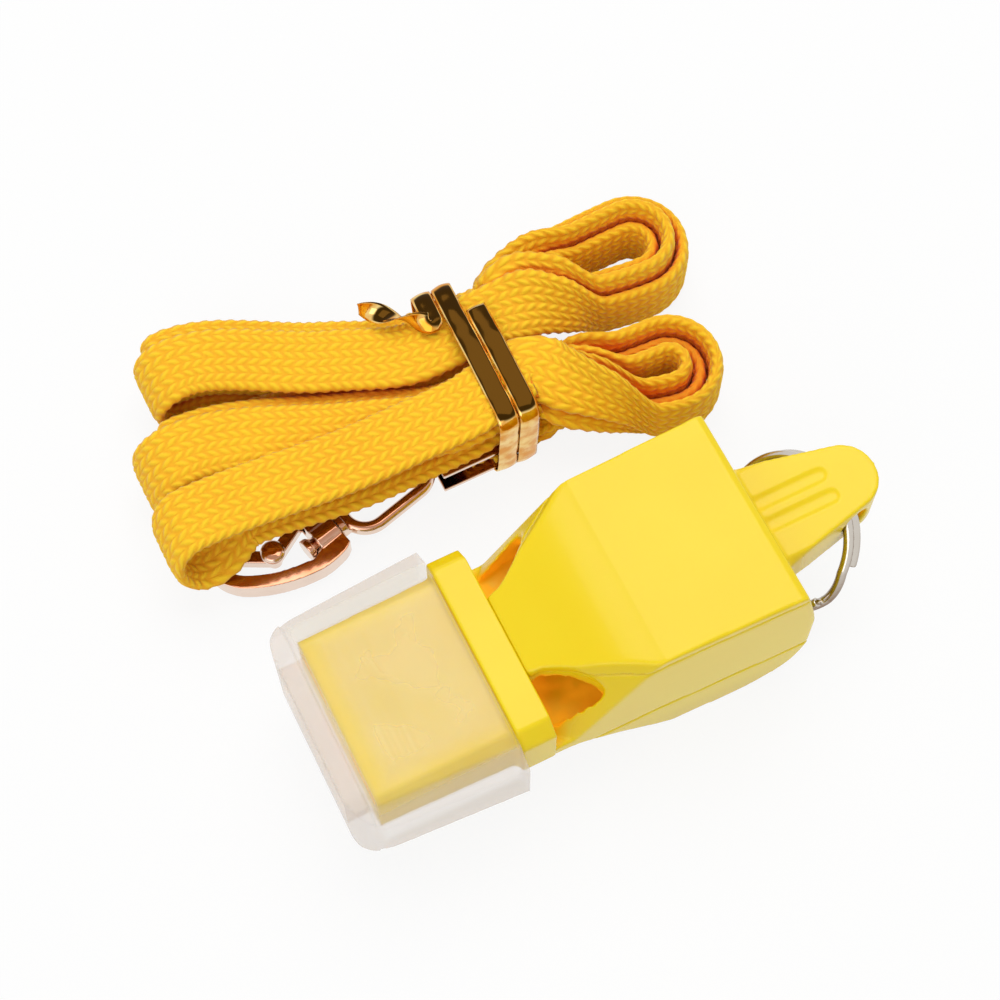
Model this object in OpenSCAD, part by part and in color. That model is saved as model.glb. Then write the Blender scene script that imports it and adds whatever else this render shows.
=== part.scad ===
// Pealess sports whistle with a slip-on mouth guard and a split ring.
// Beside it lies its wrist lanyard: a flat braid folded into a hank, with a clamp and a snap hook.
// X runs along the whistle, mouth at -X, ring lug at +X. Z is up and the belly flat rests at Z = 0.

/* [Whistle body] */
// Length of the sounding body, from the collar to the rear wall
body_l = 27.5; // [26:0.5:30]
// Height of the body at its flat top
body_h = 19.5; // [19:0.5:22]
// Width of the body where the flat top begins
body_w_front = 19.8; // [19:0.1:20.5]
// Width of the body at the rear wall
body_w_rear = 20.7; // [20:0.1:22]
// Wall of the three sounding chambers
wall = 1.2; // [1:0.1:1.4]
// Thickness of the welded top cover
cover_t = 1.3; // [1.1:0.1:1.5]
// How far behind the collar the side facets run along the top edge
facet_reach = 10.6; // [9.5:0.1:11.5]
// Lean of each side facet from the horizontal
facet_tilt = 65; // [62:1:68]
// Turn of each side facet away from straight ahead
facet_turn = 52; // [49:1:55]
// Length of a side window
window_l = 5.7; // [5:0.1:6.2]
// Width of a side window
window_w = 4.4; // [4:0.1:4.6]

/* [Collar and mouthpiece] */
// Length of the collar along X
collar_l = 3.5; // [3:0.1:4]
// Width of the collar
collar_w = 20.4; // [20:0.1:21]
// Height of the top of the collar
collar_top = 15.6; // [15.2:0.1:16]
// Height of the underside of the collar
collar_under = 6.6; // [6.3:0.1:7]
// Chamfer of the collar's corners
collar_c = 1.5; // [1:0.1:1.8]
// Length of the mouthpiece in front of the collar
mouth_l = 13.9; // [12.5:0.1:15]
// Width of the mouthpiece at its front
mouth_w = 17.6; // [17:0.1:18]
// Height of the mouthpiece
mouth_h = 8; // [7.8:0.1:8.3]
// Corner chamfer of the mouthpiece
mouth_c = 1.2; // [0.8:0.1:1.6]
// Height of an air slot
slot_h = 1.5; // [1.2:0.1:1.7]
// Width of each upper air slot
slot_w = 5.4; // [4.6:0.1:5.8]
// Width of the lower air slot
low_slot_w = 8; // [6:0.5:10]

/* [Ring lug] */
// Length of the lug behind the rear wall
lug_l = 11.3; // [10.5:0.1:12.5]
// Width of the lug where it leaves the body
lug_w = 11.8; // [11:0.1:12.5]
// Width of the lug across its round tip
lug_tip_w = 6.9; // [6.6:0.1:7.6]
// Thickness of the lug
lug_t = 5.4; // [5:0.1:6]
// Height of the middle of the lug
lug_z = 12.9; // [12.7:0.1:13.1]
// Bore of the cross hole in the lug
lug_bore = 2.9; // [2.8:0.05:3.1]
// Distance from the lug's tip to the cross hole
lug_hole_in = 3.8; // [3.4:0.1:4.2]

/* [Split ring] */
// Diameter of the ring's wire
ring_wire = 1; // [0.9:0.05:1.05]
// Mean diameter of the ring
ring_d = 15; // [14.6:0.1:15]

/* [Mouth guard] */
// Wall of the guard at its top, underside and sides
guard_t = 1.2; // [1:0.1:1.3]
// Height of the raised lip at the front of the guard
lip_h = 0.8; // [0.6:0.1:1]
// Length of the raised lip
lip_l = 1.8; // [1.4:0.1:2.2]
// Number of bite ribs on each face
ribs = 5; // [3:1:5]
// Width of one bite rib
rib_w = 0.6; // [0.5:0.05:0.65]
// Length of a bite rib
rib_l = 13.5; // [12:0.5:14]
// Height of a bite rib
rib_h = 0.25; // [0.2:0.05:0.4]

/* [Snap hook] */
// Thickness of the claw plate
claw_t = 2.4; // [2.2:0.1:2.6]
// Width of the claw's curved back
claw_bar = 1.8; // [1.6:0.1:2]
// Length of the claw from its shoulder to its nose
claw_l = 12.6; // [12:0.1:13.5]
// Diameter of the thumb knob
knob_d = 2.5; // [2.2:0.1:2.8]
// Diameter of the lever's pin
pin_d = 1; // [0.9:0.05:1.1]
// Diameter of the swivel shank
shank_d = 1.6; // [1.5:0.05:1.8]
// Wire of the swivel eye
eye_wire = 1.4; // [1.3:0.05:1.5]
// Length of the swivel eye outside
eye_l = 11.5; // [11:0.1:12]
// Width of the swivel eye outside
eye_w = 6.4; // [6.2:0.1:7]

/* [Cord clamp and tie] */
// Sheet thickness of the cord clamp
clamp_t = 0.5; // [0.4:0.05:0.55]
// Width of the cord clamp
clamp_w = 7.3; // [7.2:0.05:7.4]
// Thickness of the foil tie
tie_t = 0.15; // [0.1:0.01:0.18]
// Width of one wrap of the foil tie
tie_w = 1.8; // [1.5:0.1:1.9]

/* [Hidden] */
$fn = 64;
over = 0.2;
joint_gap = 0.03;
fit = 0.05;

// Places along the whistle
guard_nose = 2.6;
x_lip = -(guard_nose + mouth_l + collar_l + body_l + lug_l) / 2;
x_mouth = x_lip + guard_nose;
x_collar = x_mouth + mouth_l;
x_body = x_collar + collar_l;
x_rear = x_body + body_l;
x_tip = x_rear + lug_l;

// Side view of the body, as shares of its length and height
top_shares = [[0, 0.8], [0.12, 0.868], [0.25, 0.945], [0.38, 0.99], [0.46, 1], [0.9, 1]];
rear_shares = [[0.925, 0.985], [0.955, 0.82], [0.982, 0.633], [1, 0.451], [0.985, 0.305],
    [0.935, 0.131], [0.84, 0.035], [0.75, 0]];
under_shares = [[0.47, 0], [0.345, 0.11], [0.2545, 0.205], [0.169, 0.28], [0.084, 0.345], [0, 0.354]];
drum_share = [0.62, 0.38];
curve_steps = 4;
rear_bow = 0.4;
body_w_collar = 19.6;

// The inside of the body
deck_z = 8.1;
seam_z = 6;
notch_floor = 8.6;
upper_slot_z = 11.2;
low_slot_z = 7.1;
low_slot_h = 1;
low_window_l = 4.6;
upper_back = 3.2;
window_shares = [[0, 0], [0.2, 0.01], [0.42, 0.17], [0.64, 0.37], [0.84, 0.61], [0.965, 0.83],
    [0.99, 0.95], [0.93, 1], [0.77, 0.99], [0.5, 0.92], [0.25, 0.85], [0, 0.82]];

// The mouthpiece and its guard
mouth_w_rear = 18.6;
mouth_z = 6.3;
guard_w = 22.2;
guard_flare = 3.5;
guard_round = 3.6;
guard_c = 1.9;
guard_open_h = 6.4;
guard_open_w = 14.4;
rib_pitch = 1.1;
rib_start = 3.4;

// The lug and the split ring
lug_c = 1.1;
lug_flat_w = 1.5;
lug_flat_l = 8;
lug_flat_in = 0.25;
lug_flat_y = 1.2;
hole_x = x_tip - lug_hole_in;
ring_rest_in = 1.23;
ring_gap = 0.06;
ring_play = 0.35;
// The ring leans in, to rest under the rear wall's foot
ring_lean = asin((hole_x - x_rear + ring_rest_in) / (ring_d - ring_play));
ring_cut = 274;
cross_angle = 30;
end_angle = 4;

function cr(p0, p1, p2, p3, t) = ((2 * p1) + (p2 - p0) * t + (2 * p0 - 5 * p1 + 4 * p2 - p3) * t * t
    + (3 * p1 - p0 - 3 * p2 + p3) * t * t * t) / 2;
function curve(p, n) = [for (i = [0:len(p) - 2]) for (j = [0:n - 1])
    cr(p[max(i - 1, 0)], p[i], p[i + 1], p[min(i + 2, len(p) - 1)], j / n), p[len(p) - 1]];
function in_body(s) = [x_body + s[0] * body_l, s[1] * body_h];
function unit(v) = v / norm(v);
top_line = [for (s = curve(top_shares, curve_steps)) in_body(s)];
rear_line = [for (s = curve(rear_shares, curve_steps)) in_body(s)];
under_line = [for (s = curve(under_shares, curve_steps)) in_body(s)];
drum = in_body(drum_share);
function inset(p) = p + unit(drum - p) * wall;

module side(points, w) {
    rotate([90, 0, 0]) linear_extrude(w, center = true) polygon(points);
}

module bar(x, l, w, z, h, c) {
    points = [[-w / 2 + c, z], [w / 2 - c, z], [w / 2, z + c], [w / 2, z + h - c], [w / 2 - c, z + h],
        [-w / 2 + c, z + h], [-w / 2, z + h - c], [-w / 2, z + c]];
    translate([x, 0, 0]) rotate([90, 0, 90]) linear_extrude(l) polygon(points);
}

module body_plan() {
    wide = body_w_rear / 2;
    linear_extrude(body_h + over) polygon([[x_body, -body_w_collar / 2],
        [x_body + top_shares[3][0] * body_l, -body_w_front / 2], [x_rear - rear_bow, -wide],
        [x_rear - rear_bow / 4, -wide / 2], [x_rear, 0], [x_rear - rear_bow / 4, wide / 2],
        [x_rear - rear_bow, wide], [x_body + top_shares[3][0] * body_l, body_w_front / 2],
        [x_body, body_w_collar / 2]]);
}

module beyond_facet(d) {
    big = body_l + body_h;
    translate([x_body + facet_reach, -body_w_front / 2, body_h])
        rotate([0, facet_tilt, 180 + facet_turn])
        translate([-big, -big, -d])
        cube([2 * big, 2 * big, big]);
}

module notch() {
    intersection() {
        beyond_facet(0);
        translate([x_body, -body_w_rear, notch_floor]) cube([facet_reach, body_w_rear, body_h]);
    }
}

module both_sides() {
    children();
    mirror([0, 1, 0]) children();
}

module body_form() {
    difference() {
        intersection() {
            side(concat(top_line, rear_line, under_line), body_w_rear + over);
            body_plan();
        }
        both_sides() notch();
    }
}

module upper_chamber() {
    difference() {
        translate([x_body, -body_w_front / 2 + wall, deck_z + wall])
            cube([body_l - upper_back, body_w_front / 2 - wall * 3 / 2, body_h]);
        beyond_facet(wall);
        side(concat([[x_body, body_h * 2]], [for (p = top_line) p - [0, cover_t]],
            [[x_rear, body_h - cover_t], [x_rear, body_h * 2]]), body_w_rear);
    }
}

module side_window() {
    window_out = body_w_front / 2 - wall;
    translate([0, 0, deck_z + wall]) linear_extrude(body_h) polygon([for (s = window_shares)
        [x_body + s[0] * window_l, -window_out + (1 - s[1]) * window_w]]);
}

module lower_chamber() {
    w = body_w_front - 2 * wall;
    intersection() {
        side([for (p = concat(rear_line, under_line)) inset(p)], w);
        translate([x_body + low_window_l, -w, 0]) cube([body_l, 2 * w, deck_z]);
    }
    translate([x_body, -low_slot_w / 2, 0]) cube([low_window_l + wall, low_slot_w, low_slot_z + low_slot_h]);
}

module cover_band(d) {
    side(concat([[x_body - over, body_h * 2], [x_body - over, top_line[0][1] - d]],
        [for (p = top_line) p - [0, d]], [[x_rear + over, body_h - d], [x_rear + over, body_h * 2]]),
        body_w_rear * 2);
}

module lug_form() {
    r = lug_tip_w / 2;
    tip = x_tip - r;
    base = x_rear - wall * 2;
    lean = atan2(lug_w / 2 - r, tip - x_rear);
    intersection() {
        translate([0, 0, lug_z - lug_t / 2]) linear_extrude(lug_t) union() {
            translate([tip, 0]) circle(r);
            polygon([[base, -lug_w / 2], [tip + r * sin(lean), -r * cos(lean)],
                [tip + r * sin(lean), r * cos(lean)], [base, lug_w / 2]]);
        }
        bar(base, x_tip - base, lug_w, lug_z - lug_t / 2, lug_t, lug_c);
    }
}

module lug_flat(y) {
    translate([x_rear - lug_flat_l / 4, y - lug_flat_w / 2, lug_z + lug_t / 2 - lug_flat_in])
        cube([lug_flat_l, lug_flat_w, lug_t]);
    translate([x_rear + lug_flat_l * 3 / 4, y, lug_z + lug_t / 2 - lug_flat_in])
        cylinder(h = lug_t, d = lug_flat_w);
}

module middle_body() {
    color("gold") difference() {
        union() {
            difference() {
                body_form();
                cover_band(cover_t);
                both_sides() upper_chamber();
            }
            bar(x_collar, collar_l, collar_w, collar_under, collar_top - collar_under, collar_c);
            mouthpiece(0);
            difference() {
                lug_form();
                lug_flat(lug_flat_y);
                lug_flat(-lug_flat_y);
            }
            translate([x_collar - over, -low_slot_w / 2, mouth_z + mouth_c])
                cube([collar_l + 2 * over, low_slot_w, mouth_h - 2 * mouth_c]);
        }
        both_sides() side_window();
        both_sides() translate([x_mouth - over, -slot_w - wall * 2, upper_slot_z])
            cube([mouth_l + collar_l + 2 * over, slot_w, slot_h]);
        translate([x_mouth - over, -low_slot_w / 2, low_slot_z])
            cube([mouth_l + collar_l + 2 * over, low_slot_w, low_slot_h]);
        lower_chamber();
        translate([x_body + over, -body_w_rear, -over]) cube([body_l + over, body_w_rear * 2, seam_z + over]);
        translate([hole_x, 0, lug_z]) rotate([90, 0, 0])
            cylinder(h = lug_w + over, d = lug_bore, center = true);
    }
}

module top_cover() {
    color("gold") difference() {
        intersection() {
            body_form();
            cover_band(cover_t - joint_gap);
        }
        both_sides() side_window();
    }
}

module bottom_cover() {
    color("gold") difference() {
        intersection() {
            body_form();
            translate([x_body, -body_w_rear, -over])
                cube([body_l + over, body_w_rear * 2, seam_z + over - joint_gap]);
        }
        lower_chamber();
    }
}

module mouthpiece(d) {
    wide = mouth_w_rear / 2 + d;
    narrow = mouth_w / 2 + d;
    intersection() {
        bar(x_mouth - d, mouth_l + d, 2 * wide, mouth_z - d, mouth_h + 2 * d, mouth_c);
        linear_extrude(body_h) polygon([[x_mouth - d, -narrow], [x_collar, -wide], [x_collar, wide],
            [x_mouth - d, narrow]]);
    }
}

// The guard's outside as seen from one side s: a bar whose far face flares out toward the collar
module guard_side(s, z, h) {
    translate([x_lip + guard_round, s * guard_w / 2, 0]) rotate(s * guard_flare) translate([0, -s * guard_w, 0])
        bar(-2 * guard_round, 2 * guard_w, 2 * guard_w, z, h, guard_c);
}

// A block l long whose front corners are round when seen from above
module guard_plan(l) {
    flat = guard_w / 2 - guard_round;
    for (side = [-1, 1]) translate([x_lip + guard_round, side * flat, 0])
        cylinder(h = body_h, r = guard_round);
    translate([x_lip, -flat, 0]) cube([l, 2 * flat, body_h]);
    if (l > guard_round)
        translate([x_lip + guard_round, -guard_w, 0]) cube([l - guard_round, 2 * guard_w, body_h]);
}

module mouth_guard() {
    z = mouth_z - guard_t;
    h = mouth_h + 2 * guard_t;
    color("wheat", 0.7) difference() {
        union() {
            intersection() {
                guard_side(1, z, h);
                guard_side(-1, z, h);
                guard_plan(x_collar - x_lip - fit);
            }
            intersection() {
                guard_side(1, z - lip_h, h + 2 * lip_h);
                guard_side(-1, z - lip_h, h + 2 * lip_h);
                guard_plan(lip_l);
                translate([x_lip - over, -guard_w, 0]) cube([lip_l + over, 2 * guard_w, body_h]);
            }
            for (i = [0:ribs - 1], up = [0, 1]) {
                translate([x_lip + rib_start + i * rib_pitch, 0, up * h + z - rib_h]) {
                    translate([-rib_w / 2, -rib_l / 2, 0]) cube([rib_w, rib_l, 2 * rib_h]);
                    for (s = [-1, 1]) translate([0, s * rib_l / 2, 0]) cylinder(h = 2 * rib_h, d = rib_w);
                }
            }
        }
        mouthpiece(fit);
        bar(x_collar - over, 2 * over, mouth_w_rear + 2 * fit, mouth_z - fit, mouth_h + 2 * fit, mouth_c);
        translate([x_lip - over, -guard_open_w / 2, mouth_z + (mouth_h - guard_open_h) / 2])
            cube([guard_nose + 2 * over, guard_open_w, guard_open_h]);
    }
}

module ring_turn(a, sweep) {
    rotate(a) rotate_extrude(angle = sweep) translate([ring_d / 2, 0]) circle(d = ring_wire, $fn = 24);
}

module split_ring() {
    step = (ring_wire + ring_gap) / 2;
    tilt = asin(step / (ring_d / 2 * sin(cross_angle / 2)));
    turn = 360 - cross_angle;
    color("silver") translate([hole_x, 0, lug_z]) rotate([0, 90 + ring_lean, 0])
        translate([ring_d / 2 - ring_play, 0, 0]) {
        translate([0, 0, -step]) ring_turn(ring_cut + end_angle, turn - end_angle);
        translate([0, 0, step]) ring_turn(ring_cut, turn - end_angle);
        rotate(ring_cut - cross_angle / 2) rotate([tilt, 0, 0])
            ring_turn(-cross_angle / 2, cross_angle);
    }
}

// The lanyard: a flat braid laid out and back in loops, face up to the left and on edge to the right.
// Two stacks of six strips, far then near, count from the top strip down.
cord_w = 7;
cord_t = 1;
cord_edge = 0.5;
cord_pitch = 1.55;
fold_steps = 5;
// Stations along the runs, the turn of the strips there, and the middles of both stacks
stations = [[-11.4, -2.4, 5.6, 9.6, 13.6, 17.6], [-11.4, -2.4, 5.6, 9.1, 12.6, 16.1]];
turns = [0, 0, 0, 30, 60, 90];
mid_y = [[34.1, 34.1, 34.1, 35.7, 35.8, 35.6], [25.6, 25.6, 25.6, 24.2, 22.5, 21.3]];
mid_z = [[4.8, 4.8, 4.8, 6.2, 6.4, 4.9], [5.6, 5.6, 5.6, 6.2, 6.4, 4.9]];
// How far the strips have fanned out, slipped sideways and opened round the hollow there
fan_shares = [0.35, 0, 0, 0, 0, 0];
slip_at = [1, 0.8, 0.5, 0.9, 1, 1];
open_shares = [0, 0, 0, 0, 0.3, 0.75];
held_shares = [0, 0, 0, 0.4, 0.8, 1];
// Right turns: centre, and the hollow inside the loops
turn_x = [22.7, 19.2];
turn_y = [35.4, 20.9];
hollow = [1.4, 0.9];
// Left ends of the strips, their levels and the way each has slipped
lane_y = [[43.4, 43.4, 34.2, 43.4, 43.4, 34.2], [26, 34.2, 34.2, 26, 25.2, 25.2]];
level = [[8.65, 7.1, 5.55, 4, 2.45, 0.9], [10.2, 8.65, 7.1, 5.55, 2.95, 1.4]];
left_slip = [[-1, 1, -1, 1, -1, -1], [-1, -1, 1, -1, 0, 0]];
right_slip = [[-1, 1, -1, -1, 1, -1], [1, -1, 1, 1, -1, 1]];
end_slip = [[-1, 1, 0.7, 1, -1, -0.7], [0, -0.7, 0.7, -1.6, 0, 0]];
// The fourth near strip dips at its left end, over the nose of the hook, and is level from here on
dip_level = 4.1;
dip_x = -25.4;
// Each loop goes right on one strip of a stack and comes back on its partner
loops = [[1, 5], [1, 3], [0, 2], [0, 1], [0, 0], [1, 1]];
fold_x = [-30.4, -28.2, -25.4, -25.4, -28.6];

function dips(g, k) = g == 1 && k == 3;
function end_level(g, k) = dips(g, k) ? dip_level : level[g][k];
function rank(k) = (5 / 2 - k) * cord_pitch;
function mix(a, b, t) = a + (b - a) * t;
// A ring of the strip: its middle, the way its width points and the way its face points
function ring_at(p, w, along) = [p, w, cross(along, w)];
function held(g, k) = g == 1 && k > 3;
function at_station(g, k, i, way) = let (
    a = turns[i],
    w = [0, cos(a), sin(a)],
    n = [0, -sin(a), cos(a)],
    y = mix(mid_y[g][i], lane_y[g][k], fan_shares[i]),
    h = i < 3 ? level[g][k] - mid_z[g][i] : rank(k) + sign(rank(k)) * open_shares[i] * hollow[g],
    s = held(g, k) ? mix(lane_y[g][k] - mid_y[g][2], right_slip[g][k], held_shares[i])
        : slip_at[i] * (i < 2 ? left_slip[g][k] : right_slip[g][k])
) ring_at([stations[g][i], y, mid_z[g][i]] + h * n + s * w, w, [way, 0, 0]);
// The turn at the right from strip k to its partner, about an upright axis
function right_turn(g, k) = [for (j = [0:fold_steps]) let (
    r = abs(rank(k)) + hollow[g],
    way = sign(rank(k)),
    a = way * (180 * j / fold_steps - 90)
) ring_at([turn_x[g] + r * cos(a), turn_y[g] + r * sin(a), mid_z[g][5] + right_slip[g][k]], [0, 0, 1],
    way * [-sin(a), cos(a), 0])];
// The fold at the left from strip k of stack g to strip m of stack h
function left_fold(g, k, h, m, x) = [for (j = [0:fold_steps]) let (
    za = end_level(g, k),
    zb = end_level(h, m),
    a = 180 * j / fold_steps,
    y = mix(lane_y[g][k] + end_slip[g][k], lane_y[h][m] + end_slip[h][m], j / fold_steps)
) ring_at([x - abs(za - zb) / 2 * sin(a), y, (za + zb) / 2 + (za - zb) / 2 * cos(a)], [0, 1, 0],
    [-cos(a), 0, sign(zb - za) * sin(a)])];
function run_right(g, k) = concat(
    dips(g, k) ? [ring_at([dip_x, lane_y[g][k], level[g][k]], [0, 1, 0], [1, 0, 0])] : [],
    [for (i = [held(g, k) ? 1 : 0:5]) at_station(g, k, i, 1)]);
function run_left(g, k) = [for (i = [5:-1:held(g, k) ? 1 : 0]) at_station(g, k, i, -1)];
function route() = [for (n = [0:len(loops) - 1]) let (
    g = loops[n][0],
    k = loops[n][1],
    after = loops[min(n + 1, len(loops) - 1)]
) each concat(run_right(g, k), right_turn(g, k), run_left(g, 5 - k),
    n < len(loops) - 1 ? left_fold(g, 5 - k, after[0], after[1], fold_x[n]) : [])];

// The six corners of a flat strip's section, across and through
function strip(w, t, e) = [[w / 2, 0], [w / 2 - e, t / 2], [e - w / 2, t / 2], [-w / 2, 0],
    [e - w / 2, -t / 2], [w / 2 - e, -t / 2]];
function corner(q, s) = q[0] + s[0] * q[1] + s[1] * q[2];

module swept(rings, section) {
    n = len(section);
    last = (len(rings) - 1) * n;
    polyhedron([for (q = rings) for (s = section) corner(q, s)], concat(
        [for (i = [0:len(rings) - 2]) for (j = [0:n - 1]) each [
            [i * n + j, (i + 1) * n + j, i * n + (j + 1) % n],
            [i * n + (j + 1) % n, (i + 1) * n + j, (i + 1) * n + (j + 1) % n]]],
        [for (j = [1:n - 2]) [0, j, j + 1]],
        [for (j = [1:n - 2]) [last, last + j + 1, last + j]]));
}

// How far point c lies from the piece of strip between rings q and r
function to_piece(c, q, r, w, t) = let (
    run = r[0] - q[0],
    along = unit(cross(q[1] + r[1], q[2] + r[2])),
    f = max(0, min(1, (c - q[0]) * along / (run * along))),
    u = unit(mix(q[1], r[1], f)),
    v = unit(mix(q[2], r[2], f)),
    d = c - q[0] - f * run
) norm([max(abs(d * u) - w / 2, 0), max(abs(d * v) - t / 2, 0), d * cross(u, v)]);
// The least of those over points on every piece, four to a piece, and all pieces further than skip along
function least_gap(rings, section, w, t, skip) = let (last = len(rings) - 2) min([
    for (i = [0:last]) for (j = [0:last])
        if (abs(i - j) > skip && norm(rings[i][0] - rings[j][0]) < norm(rings[i + 1][0] - rings[i][0])
            + norm(rings[j + 1][0] - rings[j][0]) + w)
            for (f = [0:1 / 4:3 / 4]) for (s = section)
                to_piece(corner(mix(rings[i], rings[i + 1], f), s), rings[j], rings[j + 1], w, t)]);
function total(v) = [for (x = v) 1] * v;

module lanyard_cord() {
    rings = route();
    section = strip(cord_w, cord_t, cord_edge);
    echo("hank, least gap to itself in mm", least_gap(rings, section, cord_w, cord_t, 4));
    echo("cord length in mm", total([for (i = [1:len(rings) - 1]) norm(rings[i][0] - rings[i - 1][0])]));
    color("orange") swept(rings, section);
}

// The foil tie: a twisted tail and two wraps round the waist of the hank, as places in Y and Z
tie_x = -0.3;
tie_pitch = 2.25;
tie_e = 0.05;
tie_loop = [[34.3, 10.45], [36.3, 10.05], [38.3, 9.6], [38.85, 9], [38.85, 5], [38.85, 0.9], [38.1, 0.1],
    [32.5, 0.1], [27, 0.1], [21.5, 0.1], [20.95, 0.7], [20.95, 5.5], [20.95, 10.3], [21.7, 11.05],
    [26, 11.05], [30.4, 11.05]];
tie_turns = 2;
tail_from = [-6.4, 39.4, 10.3];
tail_steps = 7;
tail_twist = 270;

function tie_place(i) = let (n = len(tie_loop), q = tie_loop[i % n]) [tie_x + tie_pitch * i / n, q[0], q[1]];
function tie_rings() = let (
    n = tie_turns * len(tie_loop),
    start = tie_place(0),
    run = start - tail_from,
    flat = unit([run[1], -run[0], 0]),
    rise = cross(unit(run), flat)
) concat([for (j = [0:tail_steps - 1]) let (a = tail_twist * (1 - j / tail_steps))
        [tail_from + run * j / tail_steps, flat * cos(a) + rise * sin(a), rise * cos(a) - flat * sin(a)]],
    [for (i = [0:n]) let (t = unit(tie_place(i + 1) - tie_place(max(i - 1, 0))))
        [tie_place(i), [1, 0, 0], unit(cross(t, [1, 0, 0]))]]);

module foil_tie() {
    section = strip(tie_w, tie_t, tie_e);
    echo("tie, least gap to itself in mm", least_gap(tie_rings(), section, tie_w, tie_t, 4));
    color("goldenrod") swept(tie_rings(), section);
}

// The snap hook lies on the table; its swivel axis leaves the shoulder at hook_place, turned by hook_turn
hook_place = [-17.4, 22.3, 0];
hook_turn = 15;
swivel_z = 1.7;
claw_z = 0.5;
shoulder_l = 2.6;
shoulder_d = 3.3;
head_d = 2.5;
head_l = 1.1;
neck_l = 0.75;
neck_d = 2.6;
play = 0.1;
lever_t = 1.4;
lever_z = 1;
lever_root = 2.4;
lever_gap = 0.05;
lever_at = [-1.4, 3.3];
lever_tip = [-9.9, 4.4];
lever_w = 1.3;
knob_at = [-6.7, 1.5];
knob_neck_d = 1.5;
knob_top = 4.2;
spring_d = 2;
boss_d = 2.7;
// The claw's outline, as shares of its length
claw_shares = [[0, -0.19], [-0.095, -0.23], [-0.33, -0.23], [-0.635, -0.12], [-0.873, 0.04], [-0.976, 0.183],
    [-1, 0.31], [-0.952, 0.405], [-0.88, 0.44], [-0.83, 0.44]];

module hooked() {
    translate(hook_place) rotate(hook_turn) children();
}

module claw_outline() {
    n = len(claw_shares);
    rim = [for (s = claw_shares) s * claw_l];
    inside = [for (i = [n - 1:-1:2]) let (t = unit(rim[min(i + 1, n - 1)] - rim[i - 1]))
        rim[i] + claw_bar * 4 / 5 * [t[1], -t[0]]];
    polygon(concat(curve(rim, curve_steps), curve(inside, curve_steps), [[-shoulder_l, rim[1][1] + claw_bar], [-shoulder_l, shoulder_d / 2],
        [0, shoulder_d / 2]]));
}

// The slot that the lever swings in, open toward the nose
module lever_slot() {
    low = lever_z - lever_gap;
    high = lever_t + 2 * lever_gap;
    r = lever_root / 2 + play;
    translate([lever_at[0], lever_at[1], low]) cylinder(h = high, r = r);
    translate([lever_at[0] - boss_d, lever_at[1] - r - 3 * play, low]) cube([boss_d, 2 * r + 3 * play, high]);
}

module hook_claw() {
    color("silver") hooked() difference() {
        union() {
            translate([0, 0, claw_z]) linear_extrude(claw_t) claw_outline();
            translate([-shoulder_l, 0, swivel_z]) rotate([0, 90, 0]) cylinder(h = shoulder_l, d = shoulder_d);
            translate([lever_at[0], lever_at[1], claw_z]) cylinder(h = claw_t, d = boss_d);
            translate([-shoulder_l, 0, claw_z])
                cube([shoulder_l + lever_at[0] + boss_d / 2, lever_at[1], claw_t]);
        }
        translate([-shoulder_l - over, 0, swivel_z]) rotate([0, 90, 0])
            cylinder(h = shoulder_l + 2 * over, d = shank_d + play);
        translate([lever_at[0], lever_at[1], claw_z - over])
            cylinder(h = claw_t + 2 * over, d = pin_d + joint_gap);
        lever_slot();
    }
}

module link(p, q, w) {
    side = unit([p[1] - q[1], q[0] - p[0]]) * w / 2;
    polygon([p + side, q + side, q - side, p - side]);
}

module hook_lever() {
    bare_t = lever_t * 2 / 3;
    knob_z = claw_z + claw_t + lever_gap;
    rise = knob_top - knob_z;
    color("silver") hooked() difference() {
        union() {
            translate([0, 0, lever_z]) linear_extrude(lever_t) union() {
                translate(lever_at) circle(d = lever_root);
                link(lever_at, knob_at, lever_w);
                translate(knob_at) circle(d = knob_neck_d);
                link(knob_at, lever_tip, lever_w);
            }
            translate([knob_at[0], knob_at[1], 0]) rotate_extrude() polygon([[0, lever_z],
                [knob_neck_d / 2, lever_z], [knob_neck_d / 2, knob_z], [knob_d * 2 / 5, knob_z],
                [knob_d / 2, knob_z + rise / 3], [knob_d / 2, knob_z + rise * 2 / 3],
                [knob_d * 2 / 5, knob_top - rise / 9], [knob_d / 5, knob_top], [0, knob_top]]);
        }
        translate([lever_at[0], lever_at[1], lever_z - over])
            cylinder(h = lever_t + 2 * over, d = pin_d + 2 * lever_gap);
        translate([lever_at[0], lever_at[1], lever_z + bare_t])
            cylinder(h = lever_t, d = spring_d + 2 * lever_gap);
    }
}

module lever_pin() {
    color("silver") hooked() translate([lever_at[0], lever_at[1], claw_z]) cylinder(h = claw_t, d = pin_d);
}

module lever_spring() {
    z = lever_z + lever_t * 2 / 3 + lever_gap;
    color("gray") hooked() translate([lever_at[0], lever_at[1], z]) difference() {
        cylinder(h = lever_z + lever_t - z, d = spring_d);
        translate([0, 0, -over]) cylinder(h = lever_t, d = pin_d + 2 * lever_gap);
    }
}

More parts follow.
